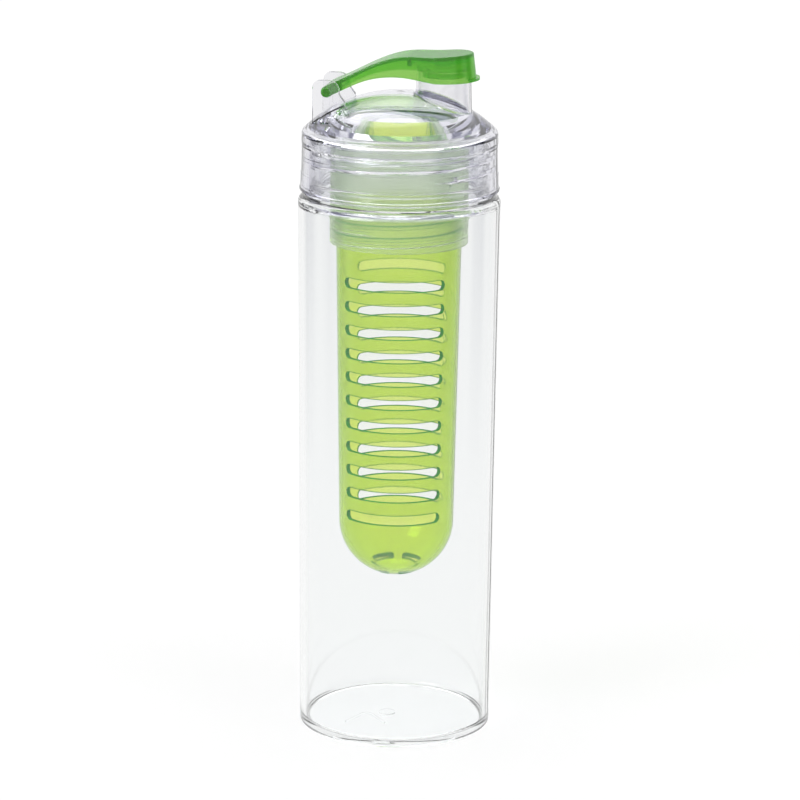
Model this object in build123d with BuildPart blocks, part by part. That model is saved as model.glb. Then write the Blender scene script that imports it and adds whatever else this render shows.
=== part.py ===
from build123d import *
from math import acos, degrees, sqrt
import os

# Fruit infuser water bottle, in millimetres. +Z is up, the foot stands on z = 0 and the bottle's
# axis is the Z axis. The spout lies towards +X and the flip cap's hinge towards -X.

# Clearances
thread_gap = 0.6          # lid's and neck's ridge crests to the wall that they run along
basket_thread_gap = 0.35  # the same in the collar
slide_gap = 0.3           # moving pieces that pass each other
snap_gap = 0.05           # pieces that snap together and stay so
seat_gap = 0.05           # a silicone ring to the face that squeezes it
overrun = 2.0             # how far a cut runs past the face that it opens

# Bottle body
body_height = 194.8
body_top_radius = 36.0
body_draft = 1.3          # how much narrower the wall is at the foot
body_wall = 2.2
floor_thickness = 1.6
foot_round = 0.8
shoulder_round = 1.8
inner_foot_round = 1.4
foot_ring_width = 3.4     # the ring that the bottle stands on, outside the recess
foot_recess_depth = 0.6
gate_mark_radius = 3.0
gate_mark_height = 0.5
gate_mark_offset = 2.8
mould_mark_radius = 8.2   # of the circle through the corners of the mark's triangle
mould_mark_line = 0.8
mould_mark_height = 0.5
mould_mark_x = -9.0
mould_mark_y = -8.6
mould_mark_angle = 97.0
mould_mark_round = 2.0
shoulder_width = 1.9      # shoulder outside the step
shoulder_step_height = 1.6

# Neck of the bottle and its screw thread
neck_height = 22.6
neck_wall = 2.2
rim_round = 0.7
neck_bead_reach = 1.2
neck_bead_height = 1.4
neck_bead_rise = 4.6
neck_pitch = 4.2
neck_turns = 3.0
neck_ridge_height = 1.3
neck_ridge_foot = 2.0
neck_ridge_crest = 1.0
neck_thread_drop = 1.5    # rim to the middle of the ridge's upper end
neck_thread_end_angle = 296.0

# Silicone ring under the lid
lid_seal_overlap = 1.0    # how far the ring reaches in past the neck's bore
lid_seal_room = 0.4       # between the ring and the throat that it lies in
lid_seal_thickness = 1.4
lid_seal_lip = 0.5

# Screw lid
lid_gap = 0.4             # lid's lower edge to the bottle's shoulder step
lid_bead_setback = 0.5    # the bead's edge inside the bottle's widest edge
lid_bead_reach = 0.3
lid_draft = 0.5           # how much narrower the side wall is at its top
lid_side_wall = 3.0
lid_bead_height = 1.3
lid_edge_chamfer = 0.7
lid_band_height = 6.7
lid_band_step = 0.15
lid_groove_rise = 16.7
lid_groove_width = 1.0
lid_groove_depth = 0.3
lid_throat_step = 1.2     # how much narrower the bore is where the silicone ring lies
lid_throat_height = 2.4
lid_corner_drop = 0.8     # seat of the silicone ring down to the top of the side wall
corner_round = 2.0
dome_rise = 14.2          # side wall's top to the top of the dome
dome_wall = 2.2
lid_turns = 1.5
lid_ridge_foot = 2.0
lid_ridge_crest = 1.0
ring_room = 1.75          # between the neck's bore and the ring wall inside the lid
ring_wall = 1.65          # the ring wall that holds the collar
ring_depth = 12.9
ring_stop_drop = 4.7
ring_stop_width = 1.2
snap_bead = 0.4
snap_bead_rise = 4.0

# Spout
spout_setback = 8.1       # the spout's axis inside the ring wall's throat
spout_foot_radius = 10.1
spout_top_radius = 9.6
spout_wall = 1.1
spout_rise = 8.2          # top of the dome to the spout's rim
spout_foot_fillet = 0.8
spout_rim_fillet = 0.4

# Hinge ears of the lid
hinge_setback = 10.0      # the hinge line inside the side wall's top edge
hinge_height = 14.2       # side wall's top to the hinge line
ear_thickness = 2.2
ear_back = 4.7
ear_top = 4.2
ear_back_round = 2.4
ear_front = 4.7           # hinge line to the upright part of the ear's front edge
ear_front_round = 3.8
ear_front_height = 0.6    # hinge line to the lower end of that part, downwards
ear_flare = 2.0
ear_flare_drop = 3.3
ear_bury = 0.6            # seat of the silicone ring to the ears' hidden lower end
trunnion_radius = 1.5
trunnion_gap = 0.08
lead_in_width = 2.4
lead_in_depth = 0.6
lead_in_length = 6.5

# Flip cap. Points of its side view are shares of the hinge-to-spout reach and of the rise.
cap_rise = 14.2           # hinge line to the top of the hood
cap_top_shares = [
    (0.05, 0.222), (0.25, 0.50), (0.45, 0.765), (0.66, 0.925), (0.93, 0.945), (1.12, 0.985), (1.40, 1.0),
]
cap_low_shares = [
    (0.055, -0.063), (0.20, 0.134), (0.36, 0.32), (0.52, 0.41), (0.69, 0.42), (0.83, 0.37), (0.96, 0.313),
]
cap_half_width = 8.6
cap_straight_length = 8.7
cap_waist_round = 40.0    # where the arm begins to widen
hood_room = 2.0           # spout's rim to the hood's outer edge
hood_draft = 7.0
cap_side_wall = 1.1
cap_roof = 1.5
cap_top_fillet = 0.6
knuckle_radius = 2.0
arm_hollow_start = 5.2
cross_rib_inset = 0.1     # hood's outer circle to the rib between arm and hood
cross_rib_thickness = 1.5
cross_rib_clear = 1.9     # rib's lower edge above the spout's rim
lip_length = 1.1          # past the hood
lip_width = 12.0
lip_thickness = 0.9
lip_rise = 0.35

# Silicone plug in the flip cap
plug_flange_setback = 0.3 # the flange's edge inside the spout's
plug_flange_thickness = 2.9
plug_depth = 2.7
plug_room = 0.6           # plug to the spout's bore
plug_taper = 0.7
plug_wall = 2.0
plug_hollow_depth = 3.4
stem_radius = 2.4
stem_length = 1.4

# Collar that hangs from the lid
collar_length = 35.6
collar_low_wall = 1.0
collar_top_wall = 1.4
ledge_rise = 14.0         # collar's lower edge to the ledge's underside
ledge_thickness = 1.6
ledge_reach = 3.65        # collar's outside to the ledge's inner edge
collar_edge_round = 0.4
collar_turns = 1.25
collar_ridge_foot = 1.9
collar_ridge_crest = 0.9

# Infuser basket
basket_length = 135.5
basket_draft = 1.65       # how much narrower the basket is above its round bottom
basket_wall = 1.6
basket_neck_height = 11.0
basket_pitch = 4.3
basket_turns = 1.6
basket_ridge_height = 0.9
basket_ridge_foot = 1.9
basket_ridge_crest = 0.9
basket_thread_rise = 2.0  # foot of the basket's neck to the middle of the ridge's lower end
basket_thread_angle = 180.0
basket_angle = 4.4        # where the screwed-in basket's slots have come to stand
slot_rows = 11
slot_pitch = 8.53
slot_height = 3.7
slot_half_angle = 52.4
slot_top_drop = 25.1      # basket's rim to the middle of the highest slot
arc_slot_count = 4
arc_slot_radius = 8.6
arc_slot_width = 2.2
arc_slot_angle = 54.0

# Silicone ring on the basket's rim
basket_seal_width = 1.9
basket_seal_thickness = 1.3

# How far a screw ridge is sunk into the wall that carries it
ridge_root = 0.3
runout_share = 0.62       # radius of the scoop that fades the end of an inside ridge, of its wall's radius

# Radii that follow, from the bottle's outside inwards
full_turn_angle = 360.0
body_foot_radius = body_top_radius - body_draft
foot_recess_radius = body_foot_radius - foot_ring_width
shoulder_step_radius = body_top_radius - shoulder_width
lid_bead_radius = body_top_radius - lid_bead_setback
lid_low_radius = lid_bead_radius - lid_bead_reach
lid_top_radius = lid_low_radius - lid_draft
lid_bore_radius = lid_low_radius - lid_side_wall
lid_throat_radius = lid_bore_radius - lid_throat_step
neck_radius = lid_bore_radius - neck_ridge_height - thread_gap
neck_bead_radius = neck_radius + neck_bead_reach
neck_bore_radius = neck_radius - neck_wall
lid_seal_outer_radius = lid_throat_radius - lid_seal_room
lid_seal_inner_radius = neck_bore_radius - lid_seal_overlap
ring_outer_radius = neck_bore_radius - ring_room
ring_inner_radius = ring_outer_radius - ring_wall
ring_throat_radius = ring_inner_radius - ring_stop_width
collar_radius = ring_inner_radius - snap_gap
collar_bore_radius = collar_radius - collar_low_wall
ledge_inner_radius = collar_radius - ledge_reach
basket_top_radius = collar_bore_radius - basket_ridge_height - basket_thread_gap
basket_low_radius = basket_top_radius - basket_draft
basket_seal_inner_radius = basket_top_radius - basket_seal_width
spout_offset = ring_throat_radius - spout_setback
hinge_offset = lid_top_radius - hinge_setback
hood_radius = spout_top_radius + hood_room
plug_flange_radius = spout_top_radius - plug_flange_setback
plug_top_radius = spout_top_radius - spout_wall - plug_room
plug_end_radius = plug_top_radius - plug_taper
plug_hollow_radius = plug_end_radius - plug_wall
ear_gap = 2 * (cap_half_width + slide_gap)

# Heights that follow
step_top = body_height + shoulder_step_height
rim_height = body_height + neck_height
lid_foot = step_top + lid_gap
seal_seat = rim_height + lid_seal_thickness + 2 * seat_gap
side_top = seal_seat - lid_corner_drop
dome_top = side_top + dome_rise
dome_radius = (lid_top_radius ** 2 + dome_rise ** 2) / (2 * dome_rise)
dome_centre = dome_top - dome_radius
hinge_z = side_top + hinge_height
spout_rim = dome_top + spout_rise
ring_foot = seal_seat - ring_depth
ring_stop = seal_seat - ring_stop_drop
collar_top = ring_stop - snap_gap
collar_foot = collar_top - collar_length
ledge_foot = collar_foot + ledge_rise
basket_rim = ledge_foot - basket_seal_thickness - 2 * seat_gap
basket_foot = basket_rim - basket_length
basket_neck_foot = basket_rim - basket_neck_height
neck_thread_start = rim_height - neck_thread_drop - neck_turns * neck_pitch
lid_thread_start = neck_thread_start + neck_pitch / 2
basket_thread_start = basket_neck_foot + basket_thread_rise
collar_thread_start = basket_thread_start - basket_pitch / 2
plug_seat = spout_rim + 2 * seat_gap + plug_flange_thickness
hood_lip = hinge_z + cap_rise * cap_low_shares[-1][1]


def dome_height(radius, depth=0.0):
    """Height of the dome's outer face, or of the face that lies depth under it, at a radius."""
    return dome_centre + sqrt((dome_radius - depth) ** 2 - radius ** 2)


def screw_ridge(wall_radius, height, pitch, turns, foot, crest, side):
    """A right-handed screw ridge that starts at angle 0 on z = 0; side is 1 outwards and -1 inwards."""
    with BuildPart() as ridge:
        with BuildLine() as path:
            helix = Helix(pitch=pitch, height=pitch * turns, radius=wall_radius)
        start = Plane(origin=helix @ 0, x_dir=(1, 0, 0), z_dir=helix % 0)
        with BuildSketch(start):
            with BuildLine():
                Polyline(
                    (-side * ridge_root, -foot / 2),
                    (side * height, -crest / 2),
                    (side * height, crest / 2),
                    (-side * ridge_root, foot / 2),
                    close=True,
                )
            make_face()
        sweep(path=helix, is_frenet=True)
        # Each end fades into the wall: the ridge is cut back by a flat, or inside by a round scoop
        for angle, level in ((0, 0), (full_turn_angle * turns, pitch * turns)):
            end = Plane.XY.offset(level - foot).rotated((0, 0, angle))
            with BuildSketch(end):
                if side > 0:
                    with Locations((wall_radius + height - ridge_root / 2, 0)):
                        Rectangle(2 * height, wall_radius)
                else:
                    scoop = runout_share * wall_radius
                    with Locations((wall_radius - scoop + ridge_root / 2, 0)):
                        Circle(scoop)
            extrude(amount=2 * foot, mode=Mode.SUBTRACT)
    return ridge.part


def placed_ridge(ridge, angle, level):
    """A screw ridge turned about the bottle's axis and raised to its height."""
    return ridge.rotate(Axis.Z, angle).moved(Location((0, 0, level)))


def taper_radius(height):
    """Outer radius of the bottle's drafted wall at a height."""
    return body_foot_radius + (body_top_radius - body_foot_radius) * height / body_height


# Bottle body: one clear moulding, turned about the axis
neck_ridge = screw_ridge(
    neck_radius, neck_ridge_height, neck_pitch, neck_turns, neck_ridge_foot, neck_ridge_crest, 1
)
neck_bead_foot = body_height + neck_bead_rise
inner_floor = foot_recess_depth + floor_thickness
inner_shoulder = body_height - body_wall
with BuildPart() as bottle_body:
    with BuildSketch(Plane.XZ):
        with BuildLine():
            Polyline(
                (0, foot_recess_depth),
                (foot_recess_radius, foot_recess_depth),
                (foot_recess_radius + foot_recess_depth, 0),
                (body_foot_radius, 0),
                (body_top_radius, body_height),
                (shoulder_step_radius, body_height),
                (shoulder_step_radius, step_top),
                (neck_radius, step_top),
                (neck_radius, rim_height),
                (neck_bore_radius, rim_height),
                (neck_bore_radius, body_height),
                (taper_radius(inner_shoulder) - body_wall, inner_shoulder),
                (taper_radius(inner_floor) - body_wall, inner_floor),
                (0, inner_floor),
                close=True,
            )
        make_face()
        foot_corner = vertices().sort_by_distance((body_foot_radius, 0))[0]
        fillet(foot_corner, radius=foot_round)
        shoulder_corner = vertices().sort_by(Axis.X)[-1]
        fillet(shoulder_corner, radius=shoulder_round)
        inner_corner = vertices().sort_by_distance((taper_radius(inner_floor) - body_wall, inner_floor))[0]
        fillet(inner_corner, radius=inner_foot_round)
        shoulder_turn = (taper_radius(inner_shoulder) - body_wall, inner_shoulder)
        fillet(vertices().sort_by_distance(shoulder_turn)[0], radius=shoulder_round)
        rim_corners = vertices().group_by(Axis.Y)[-1]
        fillet(rim_corners, radius=rim_round)
    revolve(axis=Axis.Z)
    # Bead under the thread
    with BuildSketch(Plane.XZ):
        with BuildLine():
            bead_foot = (neck_radius - ridge_root, neck_bead_foot)
            bead_top = (neck_radius - ridge_root, neck_bead_foot + neck_bead_height)
            ThreePointArc(bead_foot, (neck_bead_radius, neck_bead_foot + neck_bead_height / 2), bead_top)
            Line(bead_top, bead_foot)
        make_face()
    revolve(axis=Axis.Z)
    add(placed_ridge(neck_ridge, neck_thread_end_angle - neck_turns * full_turn_angle, neck_thread_start))
    # Gate mark under the floor, and a plain moulded chevron beside it
    with BuildSketch(Plane.XY.offset(foot_recess_depth)):
        with Locations((-gate_mark_offset, 0)):
            Circle(gate_mark_radius)
    extrude(amount=-gate_mark_height)
    with BuildSketch(Plane.XY.offset(foot_recess_depth)):
        with BuildLine():
            mark_centre = Vector(mould_mark_x, mould_mark_y)
            mark_third = full_turn_angle / 3
            mark_corner = Vector(mould_mark_radius, 0).rotate(Axis.Z, mould_mark_angle)
            mark_corners = [
                mark_centre + mark_corner.rotate(Axis.Z, side * mark_third) for side in (1, 0, -1)
            ]
            FilletPolyline(*mark_corners, radius=mould_mark_round)
        trace(line_width=mould_mark_line)
    extrude(amount=-mould_mark_height)
bottle_body.part.label = "bottle_body"

# Silicone ring between the bottle's rim and the lid, with a bead that the rim presses into
with BuildPart() as lid_seal:
    with BuildSketch(Plane.XZ):
        with BuildLine():
            seal_low = rim_height + seat_gap
            seal_high = seal_low + lid_seal_thickness
            Polyline(
                (lid_seal_inner_radius, seal_low + lid_seal_lip),
                (lid_seal_inner_radius + lid_seal_lip, seal_low),
                (lid_seal_outer_radius - lid_seal_lip, seal_low),
                (lid_seal_outer_radius, seal_low + lid_seal_lip),
                (lid_seal_outer_radius, seal_high),
                (lid_seal_inner_radius, seal_high),
                close=True,
            )
        make_face()
    revolve(axis=Axis.Z)
lid_seal.part.label = "lid_seal"


def lid_side_radius(height):
    """Outer radius of the lid's drafted side wall at a height."""
    return lid_low_radius + (lid_top_radius - lid_low_radius) * (height - lid_foot) / (side_top - lid_foot)


def spout_radius(height):
    """Outer radius of the drafted spout at a height."""
    foot = dome_height(spout_offset + spout_foot_radius)
    return spout_foot_radius + (spout_top_radius - spout_foot_radius) * (height - foot) / (spout_rim - foot)


# Screw lid: one clear moulding
lid_ridge = screw_ridge(
    lid_bore_radius, neck_ridge_height, neck_pitch, lid_turns, lid_ridge_foot, lid_ridge_crest, -1
)
bead_top = lid_foot + lid_bead_height
band_top = lid_foot + lid_band_height
groove = lid_foot + lid_groove_rise
throat = seal_seat - lid_throat_height
spout_bury = dome_height(spout_offset + spout_foot_radius, dome_wall)
bore_foot = dome_height(spout_offset + spout_radius(spout_bury) - spout_wall, dome_wall)
snap_height = collar_top - snap_bead_rise
with BuildPart() as screw_lid:
    # Outside of the side wall and the dome, as a full body
    with BuildSketch(Plane.XZ):
        with BuildLine():
            side = Polyline(
                (0, lid_foot),
                (lid_bead_radius - lid_edge_chamfer, lid_foot),
                (lid_bead_radius, lid_foot + lid_edge_chamfer),
                (lid_bead_radius, bead_top),
                (lid_side_radius(bead_top), bead_top + lid_bead_radius - lid_side_radius(bead_top)),
                (lid_side_radius(band_top), band_top),
                (lid_side_radius(band_top) - lid_band_step, band_top),
                (lid_side_radius(groove) - lid_band_step, groove - lid_groove_width / 2),
                (lid_side_radius(groove) - lid_groove_depth, groove),
                (lid_side_radius(groove), groove + lid_groove_width / 2),
                (lid_top_radius, side_top),
            )
            dome = ThreePointArc(
                side @ 1, (lid_top_radius / 2, dome_height(lid_top_radius / 2)), (0, dome_top)
            )
            Line(dome @ 1, side @ 0)
        make_face()
        side_corner = vertices().sort_by_distance((lid_top_radius, side_top))[0]
        fillet(side_corner, radius=corner_round)
    revolve(axis=Axis.Z)
    # Spout, as a full cone that reaches into the dome
    spout_length = spout_rim - spout_bury
    with Locations((spout_offset, 0, spout_bury + spout_length / 2)):
        Cone(spout_radius(spout_bury), spout_radius(spout_rim), spout_length)
    spout_foot_edge = edges(Select.NEW).sort_by_distance((spout_offset, 0, dome_height(spout_offset)))
    fillet(spout_foot_edge[0], radius=spout_foot_fillet)
    # Hinge ears
    ear_foot = seal_seat + ear_bury
    ear_high = hinge_z + ear_top
    ear_back_x = -hinge_offset - ear_back
    ear_front_x = -hinge_offset + ear_front
    for ear_side in (ear_gap / 2, -ear_gap / 2 - ear_thickness):
        with BuildSketch(Plane.XZ.offset(ear_side)):
            with BuildLine():
                Polyline(
                    (ear_back_x, ear_foot),
                    (ear_back_x, ear_high),
                    (ear_front_x, ear_high),
                    (ear_front_x, hinge_z - ear_front_height),
                    (ear_front_x + ear_flare, hinge_z - ear_flare_drop),
                    (ear_front_x + ear_flare, ear_foot),
                    close=True,
                )
            make_face()
            fillet(vertices().sort_by_distance((ear_back_x, ear_high))[0], radius=ear_back_round)
            fillet(vertices().sort_by_distance((ear_front_x, ear_high))[0], radius=ear_front_round)
            ear_bend = vertices().sort_by_distance((ear_front_x, hinge_z - ear_front_height))[0]
            fillet(ear_bend, radius=ear_flare)
        extrude(amount=ear_thickness)
    # Trunnion holes, and the grooves that guide the trunnions in
    with BuildSketch(Plane.XZ):
        with Locations((-hinge_offset, hinge_z)):
            Circle(trunnion_radius + trunnion_gap)
    extrude(amount=ear_gap / 2 + ear_thickness + overrun, both=True, mode=Mode.SUBTRACT)
    with BuildSketch(Plane.XZ):
        with Locations((-hinge_offset, hinge_z - lead_in_length / 2)):
            Rectangle(lead_in_width, lead_in_length)
    extrude(amount=ear_gap / 2 + lead_in_depth, both=True, mode=Mode.SUBTRACT)
    # Hollow for the neck and its silicone ring
    with BuildSketch(Plane.XZ):
        with BuildLine():
            Polyline(
                (ring_outer_radius, lid_foot - overrun),
                (lid_bore_radius, lid_foot - overrun),
                (lid_bore_radius, throat),
                (lid_throat_radius, throat + lid_bore_radius - lid_throat_radius),
                (lid_throat_radius, seal_seat),
                (ring_outer_radius, seal_seat),
                close=True,
            )
        make_face()
    revolve(axis=Axis.Z, mode=Mode.SUBTRACT)
    # Hollow inside the ring wall and under the dome
    with BuildSketch(Plane.XZ):
        with BuildLine():
            wall = Polyline(
                (0, lid_foot - overrun),
                (ring_outer_radius + overrun, lid_foot - overrun),
                (ring_outer_radius + overrun, ring_foot),
                (ring_inner_radius, ring_foot),
                (ring_inner_radius, ring_stop),
                (ring_throat_radius, ring_stop),
                (ring_throat_radius, dome_height(ring_throat_radius, dome_wall)),
            )
            vault = ThreePointArc(
                wall @ 1,
                (ring_throat_radius / 2, dome_height(ring_throat_radius / 2, dome_wall)),
                (0, dome_top - dome_wall),
            )
            Line(vault @ 1, wall @ 0)
        make_face()
    revolve(axis=Axis.Z, mode=Mode.SUBTRACT)
    # Groove in the ring wall for the collar's snap bead
    with BuildSketch(Plane.XZ):
        with Locations((ring_inner_radius, snap_height)):
            Circle(snap_bead)
    revolve(axis=Axis.Z, mode=Mode.SUBTRACT)
    # Bore of the spout
    bore_length = spout_rim - bore_foot
    with Locations((spout_offset, 0, bore_foot + bore_length / 2)):
        Cone(
            spout_radius(bore_foot) - spout_wall,
            spout_radius(spout_rim) - spout_wall,
            bore_length,
            mode=Mode.SUBTRACT,
        )
    spout_edges = edges().filter_by(GeomType.CIRCLE).group_by(Axis.Z)[-1]
    fillet(spout_edges, radius=spout_rim_fillet)
    add(placed_ridge(lid_ridge, neck_thread_end_angle, lid_thread_start))
screw_lid.part.label = "screw_lid"


def cap_point(share, drop=0.0):
    """A point of the flip cap's side view, from its shares of the reach and of the rise."""
    along, up = share
    return (-hinge_offset + along * (hinge_offset + spout_offset), hinge_z + up * cap_rise - drop)


def touch_point(point, centre, radius, side):
    """Where a line from a point touches a circle; side is 1 for the touch on the left of the circle's
    centre as the centre sees the point, and -1 on the right."""
    away = Vector(*point) - Vector(*centre)
    turn = degrees(acos(radius / away.length))
    return Vector(*centre) + away.normalized().rotate(Axis.Z, side * turn) * radius


def cap_plan(inset):
    """The cap's outline seen from above, drafted above the hood's lower edge and straight below it."""
    heel = -hinge_offset - knuckle_radius
    with BuildPart() as plan:
        with BuildSketch(Plane.XY.offset(hood_lip)) as outline:
            with Locations((spout_offset, 0)):
                Circle(hood_radius)
            with BuildLine():
                arm_end = (-hinge_offset + cap_straight_length, cap_half_width)
                Polyline(
                    arm_end,
                    touch_point(arm_end, (spout_offset, 0), hood_radius, -1),
                    (spout_offset, 0),
                    (heel, 0),
                    (heel, cap_half_width),
                    close=True,
                )
            make_face()
            fillet(vertices().sort_by_distance(arm_end)[0], radius=cap_waist_round)
            mirror(about=Plane.XZ)
            if inset > 0:
                offset(amount=-inset, kind=Kind.INTERSECTION)
        extrude(amount=cap_rise, taper=hood_draft)
        extrude(outline.sketch, amount=-cap_rise)
    return plan.part


# Hollow of the flip cap: under the roof, from the arm to the hood, apart from the cross rib
with BuildPart() as cap_hollow:
    add(cap_plan(cap_side_wall))
    with BuildSketch(Plane.XZ.offset(-hood_radius)):
        with BuildLine():
            roof = Spline(*(cap_point(share, cap_roof) for share in cap_top_shares))
            low = hinge_z - cap_rise
            Polyline(roof @ 1, ((roof @ 1).X, low), ((roof @ 0).X, low), roof @ 0)
        make_face()
        with Locations((-hinge_offset + arm_hollow_start, hinge_z)):
            Rectangle(hinge_offset, 2 * cap_rise, align=(Align.MAX, Align.CENTER), mode=Mode.SUBTRACT)
        with Locations((spout_offset - hood_radius + cross_rib_inset, spout_rim + cross_rib_clear)):
            Rectangle(cross_rib_thickness, cap_rise, align=(Align.MIN, Align.MIN), mode=Mode.SUBTRACT)
    extrude(amount=2 * hood_radius, mode=Mode.INTERSECT)

# Flip cap: translucent moulding with a hood over the spout, a hollow arm and its own trunnions
with BuildPart() as flip_cap:
    add(cap_plan(0))
    with BuildSketch(Plane.XZ.offset(-hood_radius)):
        with BuildLine():
            top_line = Spline(*(cap_point(share) for share in cap_top_shares))
            low_line = Spline(*(cap_point(share) for share in cap_low_shares))
            knuckle = (-hinge_offset, hinge_z)
            Polyline(
                top_line @ 0,
                touch_point(top_line @ 0, knuckle, knuckle_radius, 1),
                knuckle,
                touch_point(low_line @ 0, knuckle, knuckle_radius, -1),
                low_line @ 0,
            )
            Polyline(top_line @ 1, ((top_line @ 1).X, hood_lip), low_line @ 1)
        make_face()
        with Locations((-hinge_offset, hinge_z)):
            Circle(knuckle_radius)
    extrude(amount=2 * hood_radius, mode=Mode.INTERSECT)
    roof_edges = faces().sort_by(Axis.Z)[-1].edges()
    fillet(roof_edges.filter_by(lambda edge: edge.center().Z > hood_lip), radius=cap_top_fillet)
    # Thumb lip
    lip_reach = hood_radius + lip_length
    with BuildSketch(Plane.XY.offset(hood_lip + lip_rise)):
        with Locations((spout_offset, 0)):
            Circle(lip_reach)
            Rectangle(lip_reach, lip_width, align=(Align.MIN, Align.CENTER), mode=Mode.INTERSECT)
    extrude(amount=lip_thickness)
    add(cap_hollow.part, mode=Mode.SUBTRACT)
    # Seat and stem of the silicone plug
    with BuildSketch(Plane.XY.offset(plug_seat)):
        with Locations((spout_offset, 0)):
            Circle(plug_flange_radius)
    extrude(amount=cap_roof)
    with BuildSketch(Plane.XY.offset(plug_seat)):
        with Locations((spout_offset, 0)):
            Circle(stem_radius)
    extrude(amount=-stem_length)
    # Trunnions
    with BuildSketch(Plane.XZ):
        with Locations((-hinge_offset, hinge_z)):
            Circle(trunnion_radius)
    extrude(amount=ear_gap / 2 + ear_thickness, both=True)
flip_cap.part.label = "flip_cap"

# Silicone plug under the hood's roof: a flange on the spout's rim and a hollow plug inside it
flange_foot = spout_rim + seat_gap
flange_top = flange_foot + plug_flange_thickness
plug_foot = flange_foot - plug_depth
with BuildPart() as spout_seal:
    with BuildSketch(Plane.XZ):
        with BuildLine():
            Polyline(
                (0, plug_foot + plug_hollow_depth),
                (plug_hollow_radius, plug_foot + plug_hollow_depth),
                (plug_hollow_radius, plug_foot),
                (plug_end_radius, plug_foot),
                (plug_top_radius, flange_foot),
                (plug_flange_radius, flange_foot),
                (plug_flange_radius, flange_top),
                (stem_radius + snap_gap, flange_top),
                (stem_radius + snap_gap, flange_top - stem_length),
                (0, flange_top - stem_length),
                close=True,
            )
        make_face()
    revolve(axis=Axis.Z)
spout_seal.part = spout_seal.part.moved(Location((spout_offset, 0, 0)))
spout_seal.part.label = "spout_seal"

# Collar: frosted sleeve that snaps into the lid's ring wall, with a ledge inside
collar_ridge = screw_ridge(
    collar_bore_radius,
    basket_ridge_height,
    basket_pitch,
    collar_turns,
    collar_ridge_foot,
    collar_ridge_crest,
    -1,
)
with BuildPart() as infuser_collar:
    with BuildSketch(Plane.XZ):
        with BuildLine():
            Polyline(
                (collar_bore_radius, collar_foot),
                (collar_radius, collar_foot),
                (collar_radius, collar_top),
                (collar_radius - collar_top_wall, collar_top),
                (collar_radius - collar_top_wall, ledge_foot + ledge_thickness),
                (ledge_inner_radius, ledge_foot + ledge_thickness),
                (ledge_inner_radius, ledge_foot),
                (collar_bore_radius, ledge_foot),
                close=True,
            )
        make_face()
        fillet(vertices().group_by(Axis.Y)[0], radius=collar_edge_round)
        fillet(vertices().group_by(Axis.Y)[-1], radius=collar_edge_round)
        with Locations((collar_radius, snap_height)):
            Circle(snap_bead - snap_gap)
    revolve(axis=Axis.Z)
    add(placed_ridge(collar_ridge, basket_thread_angle, collar_thread_start))
infuser_collar.part.label = "infuser_collar"

# Silicone ring between the basket's rim and the collar's ledge
with BuildPart() as basket_seal:
    with BuildSketch(Plane.XY.offset(basket_rim + seat_gap)):
        Circle(basket_top_radius)
        Circle(basket_seal_inner_radius, mode=Mode.SUBTRACT)
    extrude(amount=basket_seal_thickness)
basket_seal.part.label = "basket_seal"

# Infuser basket: drafted tube with a round bottom and a threaded neck
basket_ridge = screw_ridge(
    basket_top_radius,
    basket_ridge_height,
    basket_pitch,
    basket_turns,
    basket_ridge_foot,
    basket_ridge_crest,
    1,
)
bowl_centre = basket_foot + basket_low_radius
bowl_inner_radius = basket_low_radius - basket_wall
slot_low = basket_rim - slot_top_drop - slot_pitch * (slot_rows - 1)
diagonal_share = 1 / sqrt(2)

# One slot of the basket, with its middle towards +Y: a sector of a ring with round ends
with BuildPart() as slot_cut:
    with BuildSketch(Plane.XZ):
        Rectangle(basket_top_radius + overrun, slot_height, align=(Align.MIN, Align.CENTER))
    end_angle = slot_half_angle - degrees(slot_height / 2 / basket_low_radius)
    revolve(axis=Axis.Z, revolution_arc=2 * end_angle)
    for angle in (0, 2 * end_angle):
        outward = Vector(1, 0, 0).rotate(Axis.Z, angle)
        with BuildSketch(Plane((0, 0, 0), z_dir=outward)):
            Circle(slot_height / 2)
        extrude(amount=basket_top_radius + overrun)
slot_cut.part = slot_cut.part.rotate(Axis.Z, full_turn_angle / 4 - end_angle)

with BuildPart() as infuser_basket:
    with BuildSketch(Plane.XZ):
        with BuildLine():
            outside = Polyline(
                (basket_top_radius, basket_rim),
                (basket_top_radius, basket_neck_foot),
                (basket_low_radius, bowl_centre),
            )
            bowl = ThreePointArc(
                outside @ 1,
                (basket_low_radius * diagonal_share, bowl_centre - basket_low_radius * diagonal_share),
                (0, basket_foot),
            )
            axis_line = Line(bowl @ 1, (0, basket_foot + basket_wall))
            inner_bowl = ThreePointArc(
                axis_line @ 1,
                (bowl_inner_radius * diagonal_share, bowl_centre - bowl_inner_radius * diagonal_share),
                (bowl_inner_radius, bowl_centre),
            )
            Polyline(
                inner_bowl @ 1,
                (basket_top_radius - basket_wall, basket_neck_foot),
                (basket_top_radius - basket_wall, basket_rim),
                outside @ 0,
            )
        make_face()
    revolve(axis=Axis.Z)
    # Rows of slots in the front and in the back
    slot_places = [
        Location((0, 0, slot_low + row * slot_pitch), (0, 0, facing))
        for row in range(slot_rows)
        for facing in (basket_angle, basket_angle + full_turn_angle / 2)
    ]
    with Locations(*slot_places):
        add(slot_cut.part, mode=Mode.SUBTRACT)
    # Arc slots in the bottom
    with BuildSketch(Plane.XY.offset(basket_foot - overrun)):
        for number in range(arc_slot_count):
            middle = basket_angle + (2 * number + 1) * full_turn_angle / (2 * arc_slot_count)
            arc = CenterArc(
                (0, 0), arc_slot_radius, middle - arc_slot_angle / 2, arc_slot_angle, mode=Mode.PRIVATE
            )
            SlotArc(arc, height=arc_slot_width)
    extrude(amount=basket_low_radius / 2, mode=Mode.SUBTRACT)
    add(placed_ridge(basket_ridge, basket_thread_angle, basket_thread_start))
infuser_basket.part.label = "infuser_basket"

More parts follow.
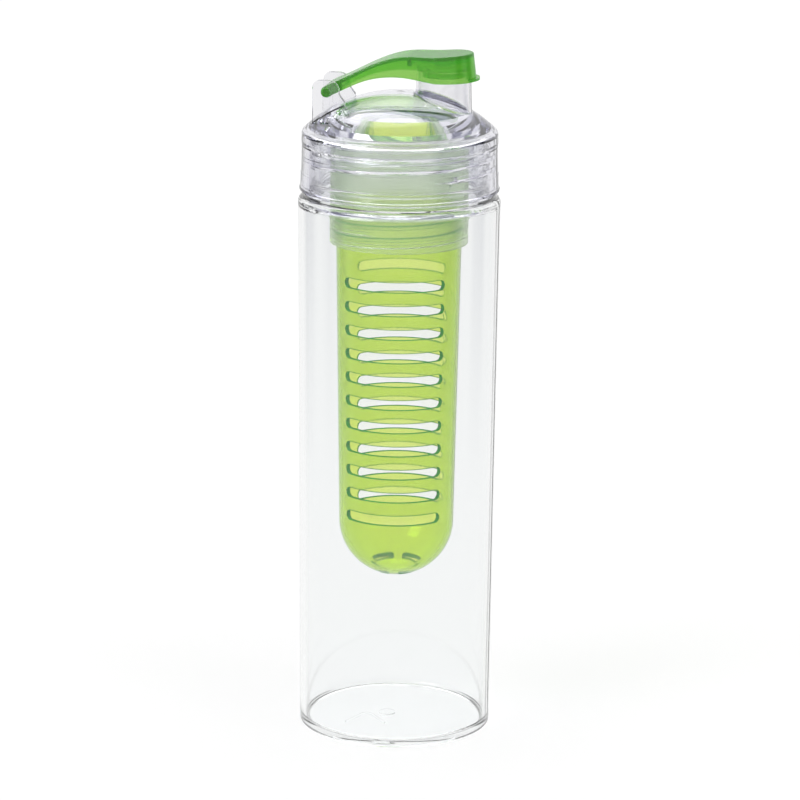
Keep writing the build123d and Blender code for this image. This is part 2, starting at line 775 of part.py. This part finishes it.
pieces = (
    bottle_body,
    lid_seal,
    screw_lid,
    flip_cap,
    spout_seal,
    infuser_collar,
    basket_seal,
    infuser_basket,
)
os.makedirs("parts", exist_ok=True)
for piece in pieces:
    export_step(piece.part, f"parts/{piece.part.label}.step")
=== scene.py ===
import math

import bpy
from mathutils import Matrix, Vector

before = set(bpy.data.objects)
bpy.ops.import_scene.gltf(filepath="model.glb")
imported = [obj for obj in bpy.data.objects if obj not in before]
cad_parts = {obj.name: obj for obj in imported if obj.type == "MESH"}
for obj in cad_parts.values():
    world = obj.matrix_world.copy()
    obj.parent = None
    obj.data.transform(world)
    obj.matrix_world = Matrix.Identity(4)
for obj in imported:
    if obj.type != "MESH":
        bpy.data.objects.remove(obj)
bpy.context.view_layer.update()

MM = 0.001                      # patterns are sized in millimetres, the scene is in metres


def colour(hex_value):
    """An sRGB hex value as the linear colour that a shader takes."""
    parts = [int(hex_value[i:i + 2], 16) / 255 for i in (1, 3, 5)]
    linear = [p / 12.92 if p <= 0.04045 else ((p + 0.055) / 1.055) ** 2.4 for p in parts]
    return (*linear, 1.0)


def add_node(tree, kind, links=None, sockets=None, stops=(), **settings):
    """Adds one node, with its settings, its plain socket values, what feeds it and, on a ramp, its stops."""
    node = tree.nodes.new(kind)
    for name, value in settings.items():
        setattr(node, name, value)
    for name, value in (sockets or {}).items():
        node.inputs[name].default_value = value
    for name, source in (links or {}).items():
        tree.links.new(source, node.inputs[name])
    if stops:
        ramp = node.color_ramp.elements
        while len(ramp) < len(stops):
            ramp.new(1.0)
        for stop, (place, shade) in zip(ramp, stops):
            stop.position = place
            stop.color = shade
    return node


def empty_material(name):
    """A material with nothing in it yet, and its node tree."""
    material = bpy.data.materials.new(name)
    material.use_nodes = True
    material.node_tree.nodes.clear()
    return material, material.node_tree


# The plastics. Both kinds are moulded, see-through, and coloured by the way that light travels inside them.

COPOLYESTER_IOR = 1.57
TINTED_IOR = 1.53
CLEAR_SHADOW = colour("#F6F6F8")        # what a clear wall lets through of the lamps' light
WAVE_WIDTH = 9.0                        # mm, the waves of a clear wall, measured round the bottle
WAVE_LENGTH = 60.0                      # mm, the same along the bottle
HAZE_PATCH = 1.5                        # mm, the patches of faint haze on a polished skin
HAZE_ROUGHNESS = 0.03                   # the roughness of such a patch
GRIT = 0.6                              # mm, the grain of an eroded mould, as coarse as it needs to show
GRIT_HEIGHT = 0.004                     # mm
ROUGHNESS_SPREAD = 0.3                  # how far a tinted skin's roughness strays, as a share of it
BOWL_CENTRE = 76.0                      # mm, the height of the centre of the basket's round bottom
CUT_FACING = 0.5                        # a face that looks less straight outward than this is a cut
WALL_FACING = 0.7                       # one that looks more straight outward than this is the wall
PAINTED_CUT_GLOW = 0.93                         # the share of a cut face that gets the painted glow of light carried along the wall


def finish_material(tree, surface, through, depth_colour, depth_per_mm):
    """Joins the surface to the output. Lamps shine through a clear wall, losing what the wall's colour takes,
    and the plastic's depth takes light by the distance travelled inside it."""
    path = add_node(tree, "ShaderNodeLightPath")
    let_through = add_node(tree, "ShaderNodeBsdfTransparent", sockets={"Color": through})
    lit = add_node(tree, "ShaderNodeMixShader",
                   links={0: path.outputs["Is Shadow Ray"], 1: surface, 2: let_through.outputs["BSDF"]})
    depth = add_node(tree, "ShaderNodeVolumeAbsorption",
                     sockets={"Color": depth_colour, "Density": depth_per_mm / MM})
    add_node(tree, "ShaderNodeOutputMaterial",
             links={"Surface": lit.outputs["Shader"], "Volume": depth.outputs["Volume"]})


def moulding_waves(tree, height_mm):
    """The slow waves that a moulded clear wall keeps: long along the bottle, short round it."""
    place = add_node(tree, "ShaderNodeTexCoord")
    round_it, along_it = 1 / (WAVE_WIDTH * MM), 1 / (WAVE_LENGTH * MM)
    stretch = add_node(tree, "ShaderNodeMapping", links={"Vector": place.outputs["Object"]},
                       sockets={"Scale": (round_it, round_it, along_it)})
    waves = add_node(tree, "ShaderNodeTexNoise", links={"Vector": stretch.outputs["Vector"]},
                     sockets={"Scale": 1.0, "Detail": 1.0, "Roughness": 0.4})
    bump = add_node(tree, "ShaderNodeBump", links={"Height": waves.outputs["Fac"]},
                    sockets={"Strength": 1.0, "Distance": height_mm * MM})
    return bump.outputs["Normal"]


def mould_grain(tree, size_mm, smoothest, roughest):
    """The fine grain that a mould leaves on a skin, and a roughness that follows it."""
    place = add_node(tree, "ShaderNodeTexCoord")
    grain = add_node(tree, "ShaderNodeTexNoise", links={"Vector": place.outputs["Object"]},
                     sockets={"Scale": 1 / (size_mm * MM), "Detail": 3.0, "Roughness": 0.6})
    rough = add_node(tree, "ShaderNodeMapRange", links={"Value": grain.outputs["Fac"]},
                     sockets={"To Min": smoothest, "To Max": roughest})
    return grain.outputs["Fac"], rough.outputs["Result"]


def clear_copolyester(name, skin_hex, depth_hex, depth_per_mm, wave_mm):
    """Injection-moulded clear copolyester. Polished steel moulds give it a glassy skin with faint waves, and its
    thick edges gather the grey of its depth."""
    material, tree = empty_material(name)
    normal = moulding_waves(tree, wave_mm)
    _, roughness = mould_grain(tree, HAZE_PATCH, 0.0, HAZE_ROUGHNESS)
    skin = add_node(tree, "ShaderNodeBsdfPrincipled", links={"Normal": normal, "Roughness": roughness},
                    sockets={"Base Color": colour(skin_hex), "IOR": COPOLYESTER_IOR, "Transmission Weight": 1.0})
    finish_material(tree, skin.outputs["BSDF"], CLEAR_SHADOW, colour(depth_hex), depth_per_mm)
    return material


def cut_faces(tree):
    """Picks out the faces that cut through the basket's wall, which get the painted glow: 1 in its slots, 0 on the
    wall and the round bottom, whose faces look straight at the axis or at the bottom's centre."""
    place = add_node(tree, "ShaderNodeTexCoord")
    from_centre = add_node(tree, "ShaderNodeVectorMath", operation="SUBTRACT",
                           links={0: place.outputs["Object"]}, sockets={1: (0.0, 0.0, BOWL_CENTRE * MM)})
    level_above = add_node(tree, "ShaderNodeVectorMath", operation="MINIMUM",
                           links={0: from_centre.outputs["Vector"]}, sockets={1: (1.0, 1.0, 0.0)})
    outward = add_node(tree, "ShaderNodeVectorMath", operation="NORMALIZE",
                       links={0: level_above.outputs["Vector"]})
    facing = add_node(tree, "ShaderNodeVectorMath", operation="DOT_PRODUCT",
                      links={0: outward.outputs["Vector"], 1: place.outputs["Normal"]})
    facing = add_node(tree, "ShaderNodeMath", operation="ABSOLUTE", links={0: facing.outputs["Value"]})
    cut = add_node(tree, "ShaderNodeMapRange", links={"Value": facing.outputs["Value"]},
                   sockets={"From Min": CUT_FACING, "From Max": WALL_FACING, "To Min": 1.0, "To Max": 0.0})
    return cut.outputs["Result"]


def tinted_plastic(name, depth_hex, depth_per_mm, through_hex, roughness, milk, milk_hex, painted_cut_glow_hex=None):
    """Clear plastic coloured through its depth: pale where one thin wall is seen, deep at edges and ribs. A share
    of pigment scatters light on and back, so the colour glows at the edges and holds against a dark ground too.
    The cut faces get a painted glow in the deep colour given for them, standing in for light that runs along a clear
    coloured wall and comes out there."""
    material, tree = empty_material(name)
    grain, rough = mould_grain(tree, GRIT, roughness * (1 - ROUGHNESS_SPREAD), roughness * (1 + ROUGHNESS_SPREAD))
    bump = add_node(tree, "ShaderNodeBump", links={"Height": grain},
                    sockets={"Strength": 1.0, "Distance": GRIT_HEIGHT * MM})
    normal = bump.outputs["Normal"]
    skin = add_node(tree, "ShaderNodeBsdfPrincipled", links={"Normal": normal, "Roughness": rough},
                    sockets={"Base Color": colour("#FFFFFF"), "IOR": TINTED_IOR, "Transmission Weight": 1.0})
    onward = add_node(tree, "ShaderNodeBsdfTranslucent", links={"Normal": normal},
                      sockets={"Color": colour(milk_hex)})
    back = add_node(tree, "ShaderNodeBsdfDiffuse", links={"Normal": normal}, sockets={"Color": colour(milk_hex)})
    pigment = add_node(tree, "ShaderNodeMixShader", sockets={0: 0.5},
                       links={1: onward.outputs["BSDF"], 2: back.outputs["BSDF"]})
    both = add_node(tree, "ShaderNodeMixShader", sockets={0: milk},
                    links={1: skin.outputs["BSDF"], 2: pigment.outputs["Shader"]})
    # Painted glow: the cut faces take the deep colour and a large pigment share, in place of light carried along the
    # wall.
    if painted_cut_glow_hex:
        cut = cut_faces(tree)
        shade = add_node(tree, "ShaderNodeMix", data_type="RGBA", links={0: cut},
                         sockets={6: colour(milk_hex), 7: colour(painted_cut_glow_hex)})
        share = add_node(tree, "ShaderNodeMapRange", links={"Value": cut},
                         sockets={"To Min": milk, "To Max": PAINTED_CUT_GLOW})
        tree.links.new(shade.outputs[2], onward.inputs["Color"])
        tree.links.new(shade.outputs[2], back.inputs["Color"])
        tree.links.new(share.outputs["Result"], both.inputs[0])
    finish_material(tree, both.outputs["Shader"], colour(through_hex), colour(depth_hex), depth_per_mm)
    return material


def dress(material, *nodes):
    """Gives CAD nodes their finish."""
    for node in nodes:
        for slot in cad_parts[node].material_slots:
            slot.material = material


def bottle_body():
    """A thin clear wall, so nearly colourless, with a trace of grey where it is seen edge on."""
    dress(clear_copolyester("clear_copolyester_bottle_wall", skin_hex="#FBFCFC", depth_hex="#A0A8A4",
                            depth_per_mm=0.003, wave_mm=0.004), "bottle_body")


def screw_lid():
    """The same plastic, thicker and with more edges, which gather a cool lavender grey."""
    dress(clear_copolyester("clear_copolyester_lid", skin_hex="#FCFCFD", depth_hex="#8E8EB5",
                            depth_per_mm=0.031, wave_mm=0.002), "screw_lid")


def flip_cap():
    """Yellower than green where the hollow arm is thin, a full green where the hood is seen through twice."""
    dress(tinted_plastic("translucent_green_cap_plastic", depth_hex="#D4F02A", depth_per_mm=1.3,
                         through_hex="#7CCB6E", roughness=0.12, milk=0.38, milk_hex="#7CE84E"), "flip_cap")


def infuser_basket():
    """Almost clear lime, deeper where two walls are seen, with a painted green glow on the rims round its slots."""
    dress(tinted_plastic("translucent_lime_basket_plastic", depth_hex="#EEF840", depth_per_mm=1.15,
                         through_hex="#C7DE6E", roughness=0.05, milk=0.03, milk_hex="#B4D836",
                         painted_cut_glow_hex="#20B034"), "infuser_basket")


def infuser_collar():
    """Frosted, so it hides what is behind it a little. Its touch of green is painted, standing in for the green light
    of the basket in it.
    """
    dress(tinted_plastic("frosted_natural_polypropylene", depth_hex="#D8F0BC", depth_per_mm=0.07,
                         through_hex="#E8F0E0", roughness=0.20, milk=0.16, milk_hex="#DEF4C0"), "infuser_collar")


def seals():
    """Soft and milky, hardly seen through the frosted and green pieces round them."""
    dress(tinted_plastic("milky_clear_silicone", depth_hex="#E2E4DE", depth_per_mm=0.05,
                         through_hex="#E6E8E4", roughness=0.22, milk=0.08, milk_hex="#F2F3EF"),
          "lid_seal", "basket_seal", "spout_seal")


# The studio. The bottle is clear, so its lines come from what stands round it. Directions are given by the share
# of the level direction that runs front to back (0 is straight to a side), and by the height: 1 is overhead.

WHITE = colour("#FFFFFF")
BLACK = colour("#000000")
CARD = colour("#7A7A92")                # the side cards, a cool lavender grey
CEILING = colour("#3C3C44")             # the unlit ceiling behind the backdrop's top
PAPER = colour("#E8E8E8")               # the floor, as the object's pieces are lit by it
SHADED_PAPER = colour("#989898")        # the same as seen, where its own glow is added
FLOOR_HALF = 3.0                        # metres
FLOOR_DROP = 0.0002                     # metres, so that the floor and the bottle's foot don't share a plane
GLOW_BENT = 0.70                        # how much the floor glows for rays that the plastic bends
GLOW_NEAR = 0.70                        # the same for the camera, where the lamps light the floor round the bottle
GLOW_FAR = 0.84                         # and further off, so that the paper is evenly white and the shadow shows
GLOW_FROM, GLOW_TO = 0.05, 0.45         # metres from the bottle's axis between which the glow goes from near to far
PAINTED_CARDS_FROM, PAINTED_CARDS_TO = 0.3, 1.2         # metres from the axis between which a painted reflection of the cards comes up on the floor
SKY_LIGHT = 0.62                        # the sky's strength as a light on the pieces
CARD_STEPS = ((0.14, WHITE), (0.22, CARD), (0.52, CARD), (0.62, WHITE))
CARD_TOP_STEPS = ((0.08, BLACK), (0.28, WHITE))
CEILING_STEPS = ((0.50, WHITE), (0.55, CEILING))
CEILING_END_STEPS = ((0.40, WHITE), (0.55, BLACK))
BOX_DIRECTION = (-0.145, 0.540, 0.829)  # the soft box over the back, seen from the bottle
BOX_EDGE = 0.925                        # the cosine of its half width
BOX_STRENGTH = 4.0                      # how much brighter than white it is
BOX_HALO = colour("#959595")            # the share of that which the wall round it shines back
BOX_STEPS = ((0.45, BLACK), (0.90, BOX_HALO), (BOX_EDGE, BOX_HALO), (BOX_EDGE + 0.02, WHITE))
BOX_FOOT_STEPS = ((0.32, BLACK), (0.46, WHITE))
LAMP_AIM = (0.0, 0.0, 0.12)             # metres, the middle of the bottle
LENS, SENSOR = 152.92, 36.0             # mm
CAMERA_PLACE = (0.20673, -1.16703, 0.4203)      # metres
CAMERA_AIM = (0.00092, 0.00016, 0.120)          # metres
CAMERA_ROLL = 0.571                     # degrees


def side_cards(tree, place):
    """The cards' colours by direction from the bottle: two at each side, white between them and elsewhere. Also
    gives the front-to-back share of the direction, the level distance and the height."""
    parts = add_node(tree, "ShaderNodeSeparateXYZ", links={"Vector": place})
    level = add_node(tree, "ShaderNodeCombineXYZ", links={"X": parts.outputs["X"], "Y": parts.outputs["Y"]})
    turn = add_node(tree, "ShaderNodeVectorMath", operation="NORMALIZE", links={0: level.outputs["Vector"]})
    turn = add_node(tree, "ShaderNodeSeparateXYZ", links={"Vector": turn.outputs["Vector"]})
    turn = add_node(tree, "ShaderNodeMath", operation="ABSOLUTE", links={0: turn.outputs["Y"]})
    cards = add_node(tree, "ShaderNodeValToRGB", links={"Fac": turn.outputs["Value"]}, stops=CARD_STEPS)
    far = add_node(tree, "ShaderNodeVectorMath", operation="LENGTH", links={0: level.outputs["Vector"]})
    return cards.outputs["Color"], turn.outputs["Value"], far.outputs["Value"], parts.outputs["Z"]


def studio_floor():
    """A white sweep: a pale floor that keeps the bottle's soft shadow. Its glow is only for the camera and for rays
    off or through the bottle, which further off also see a painted reflection of the cards on it, their colours laid
    into the floor's glow by direction."""
    mesh = bpy.data.meshes.new("studio_floor")
    half = FLOOR_HALF
    mesh.from_pydata([(-half, -half, 0), (half, -half, 0), (half, half, 0), (-half, half, 0)], [], [(0, 1, 2, 3)])
    floor = bpy.data.objects.new("studio_floor", mesh)
    bpy.context.scene.collection.objects.link(floor)
    floor.location.z = -FLOOR_DROP
    material, tree = empty_material("white_paper_floor")
    path = add_node(tree, "ShaderNodeLightPath")
    seen = add_node(tree, "ShaderNodeMath", operation="MAXIMUM",
                    links={0: path.outputs["Is Camera Ray"], 1: path.outputs["Is Glossy Ray"]})
    seen = add_node(tree, "ShaderNodeMath", operation="MAXIMUM",
                    links={0: seen.outputs["Value"], 1: path.outputs["Is Transmission Ray"]})
    paper = add_node(tree, "ShaderNodeBsdfDiffuse", sockets={"Color": PAPER})
    shade = add_node(tree, "ShaderNodeBsdfDiffuse", sockets={"Color": SHADED_PAPER})
    place = add_node(tree, "ShaderNodeNewGeometry")
    cards, _, far, _ = side_cards(tree, place.outputs["Position"])
    evened = add_node(tree, "ShaderNodeMapRange", links={"Value": far},
                      sockets={"From Min": GLOW_FROM, "From Max": GLOW_TO, "To Min": GLOW_NEAR, "To Max": GLOW_FAR})
    level = add_node(tree, "ShaderNodeMapRange", sockets={"To Min": GLOW_BENT},
                     links={"Value": path.outputs["Is Camera Ray"], "To Max": evened.outputs["Result"]})
    # Painted reflection of the cards: further off, for rays off or through the bottle, the glow takes the cards'
    # colours by direction.
    behind = add_node(tree, "ShaderNodeMapRange", links={"Value": far},
                      sockets={"From Min": PAINTED_CARDS_FROM, "From Max": PAINTED_CARDS_TO})
    behind = add_node(tree, "ShaderNodeMath", operation="SUBTRACT", use_clamp=True,
                      links={0: behind.outputs["Result"], 1: path.outputs["Is Camera Ray"]})
    tint = add_node(tree, "ShaderNodeMix", data_type="RGBA", sockets={6: WHITE},
                    links={0: behind.outputs["Value"], 7: cards})
    glow = add_node(tree, "ShaderNodeEmission", links={"Color": tint.outputs[2], "Strength": level.outputs["Result"]})
    bright = add_node(tree, "ShaderNodeAddShader", links={0: shade.outputs["BSDF"], 1: glow.outputs["Emission"]})
    both = add_node(tree, "ShaderNodeMixShader",
                    links={0: seen.outputs["Value"], 1: paper.outputs["BSDF"], 2: bright.outputs["Shader"]})
    add_node(tree, "ShaderNodeOutputMaterial", links={"Surface": both.outputs["Shader"]})
    mesh.materials.append(material)
    return floor


def studio_world():
    """White all round for whatever the camera sees, straight or through the plastic. Tall dark cards, two at each
    side of the bottle, and the unlit ceiling behind the backdrop draw the lines along rims, ridges and edges. A
    soft box hangs over the back and shines on the dome and the cap, but not on the bottle's floor."""
    world = bpy.data.worlds.new("studio")
    bpy.context.scene.world = world
    world.use_nodes = True
    tree = world.node_tree
    tree.nodes.clear()
    path = add_node(tree, "ShaderNodeLightPath")
    place = add_node(tree, "ShaderNodeTexCoord")
    cards, turn, _, height = side_cards(tree, place.outputs["Generated"])
    top = add_node(tree, "ShaderNodeValToRGB", links={"Fac": height}, stops=CARD_TOP_STEPS)
    cards = add_node(tree, "ShaderNodeVectorMath", operation="MAXIMUM", links={0: cards, 1: top.outputs["Color"]})
    ceiling = add_node(tree, "ShaderNodeValToRGB", links={"Fac": height}, stops=CEILING_STEPS)
    end = add_node(tree, "ShaderNodeValToRGB", links={"Fac": turn}, stops=CEILING_END_STEPS)
    ceiling = add_node(tree, "ShaderNodeVectorMath", operation="MAXIMUM",
                       links={0: ceiling.outputs["Color"], 1: end.outputs["Color"]})
    both = add_node(tree, "ShaderNodeVectorMath", operation="MULTIPLY",
                    links={0: cards.outputs["Vector"], 1: ceiling.outputs["Vector"]})
    towards = add_node(tree, "ShaderNodeVectorMath", operation="DOT_PRODUCT",
                       links={0: place.outputs["Generated"]}, sockets={1: BOX_DIRECTION})
    box = add_node(tree, "ShaderNodeValToRGB", links={"Fac": towards.outputs["Value"]}, stops=BOX_STEPS)
    high = add_node(tree, "ShaderNodeValToRGB", links={"Fac": height}, stops=BOX_FOOT_STEPS)
    box = add_node(tree, "ShaderNodeVectorMath", operation="MULTIPLY",
                   links={0: box.outputs["Color"], 1: high.outputs["Color"]})
    gleam = add_node(tree, "ShaderNodeMath", operation="MULTIPLY_ADD", links={0: box.outputs["Vector"]},
                     sockets={1: BOX_STRENGTH - 1.0, 2: 1.0})
    lit = add_node(tree, "ShaderNodeBackground", sockets={"Color": WHITE, "Strength": SKY_LIGHT})
    white = add_node(tree, "ShaderNodeBackground", sockets={"Color": WHITE, "Strength": 1.0})
    carded = add_node(tree, "ShaderNodeBackground", links={"Color": both.outputs["Vector"]},
                      sockets={"Strength": 1.0})
    shining = add_node(tree, "ShaderNodeBackground",
                       links={"Color": cards.outputs["Vector"], "Strength": gleam.outputs["Value"]})
    sky = lit.outputs["Background"]
    for kind, seen in (("Is Transmission Ray", carded), ("Is Glossy Ray", shining), ("Is Camera Ray", white)):
        sky = add_node(tree, "ShaderNodeMixShader",
                       links={0: path.outputs[kind], 1: sky, 2: seen.outputs["Background"]}).outputs["Shader"]
    add_node(tree, "ShaderNodeOutputWorld", links={"Surface": sky})


def soft_box(name, place, size, watts, mirrored):
    """A lamp on the bottle. One that isn't mirrored leaves no bright strip in the clear walls."""
    light = bpy.data.lights.new(name, "AREA")
    light.shape = "RECTANGLE"
    light.size, light.size_y = size
    light.energy = watts
    lamp = bpy.data.objects.new(name, light)
    bpy.context.scene.collection.objects.link(lamp)
    lamp.location = place
    lamp.visible_glossy = lamp.visible_transmission = mirrored
    lamp.rotation_euler = (Vector(LAMP_AIM) - Vector(place)).to_track_quat("-Z", "Y").to_euler()
    return lamp


def photo_camera():
    """The camera stands 10 degrees round to the right of the front and looks a little down."""
    data = bpy.data.cameras.new("photo_camera")
    data.lens = LENS
    data.sensor_width = SENSOR
    data.clip_start, data.clip_end = 0.05, 50.0
    camera = bpy.data.objects.new("photo_camera", data)
    bpy.context.scene.collection.objects.link(camera)
    place = Vector(CAMERA_PLACE)
    turned = (Vector(CAMERA_AIM) - place).to_track_quat("-Z", "Y").to_matrix().to_4x4()
    roll = Matrix.Rotation(math.radians(CAMERA_ROLL), 4, "Z")
    camera.matrix_world = Matrix.Translation(place) @ turned @ roll
    bpy.context.scene.camera = camera


for piece in (bottle_body, screw_lid, flip_cap, infuser_basket, infuser_collar, seals):
    piece()
studio_floor()
studio_world()
soft_box("key_soft_box", place=(-0.9, -0.9, 1.1), size=(0.7, 0.7), watts=9, mirrored=True)
soft_box("fill_soft_box", place=(1.1, -0.5, 0.7), size=(0.6, 0.9), watts=5, mirrored=False)
photo_camera()

scene = bpy.context.scene
scene.view_settings.view_transform = "Standard"
# Light passes up to twenty clear faces here, and fewer bounces leave black patches.
scene.cycles.max_bounces = 40
scene.cycles.transmission_bounces = 36
scene.cycles.glossy_bounces = 12
scene.cycles.transparent_max_bounces = 48
